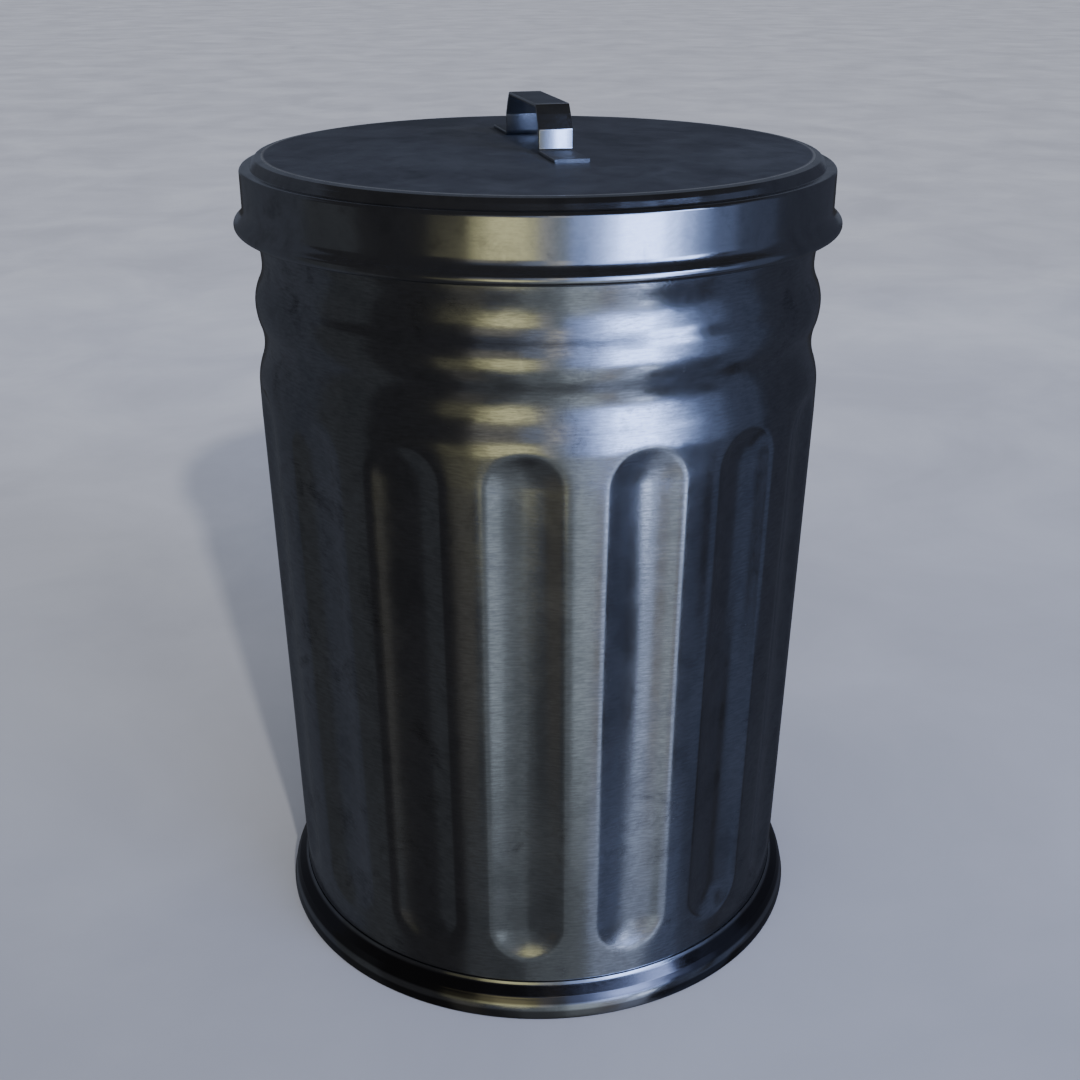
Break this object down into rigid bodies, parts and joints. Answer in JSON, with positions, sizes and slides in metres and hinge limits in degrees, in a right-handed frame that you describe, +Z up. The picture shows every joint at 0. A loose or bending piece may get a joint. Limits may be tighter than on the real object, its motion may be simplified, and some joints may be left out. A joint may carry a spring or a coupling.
{
  "type": "steel waste can",
  "caption": "Round galvanised steel waste can with a fluted wall, rolled swages, flared foot hoop and a lift-off lid with a strap handle.",
  "frame": {"origin": "centre of the base, on the floor under the foot hoop", "axes": "+Z up along the can's axis, -Y the front (the middle of a plain strip between two flutes), +Y the lock seam"},
  "size_m": [0.4754, 0.4754, 0.6988],
  "materials": {
    "galvanised_wall": "galvanised sheet, semi-gloss",
    "galvanised_hoop": "galvanised strip, semi-gloss",
    "galvanised_lid": "galvanised sheet, semi-gloss",
    "handle_strap": "plated strap, bright",
    "wire": "drawn wire",
    "sealant": "cured sealing compound, matt"
  },
  "bodies": {
    "can": {"can_wall": "galvanised_wall", "rim_wire": "wire", "bottom_pan": "galvanised_wall", "bottom_seal": "sealant", "foot_hoop": "galvanised_hoop"},
    "lid_wire": {"lid_rim_wire": "wire"},
    "lid": {"lid_shell": "galvanised_lid", "lid_handle": "handle_strap"}
  },
  "joints": [
    {"name": "lid_lift", "type": "slide", "parent": "can", "child": "lid_wire", "axis": [0, 0, 1], "range_m": [0, 0.25]},
    {"name": "lid_turn", "type": "hinge", "parent": "lid_wire", "child": "lid", "pos_m": [0, 0, 0.6104], "axis": [0, 0, 1], "continuous": true}
  ]
}
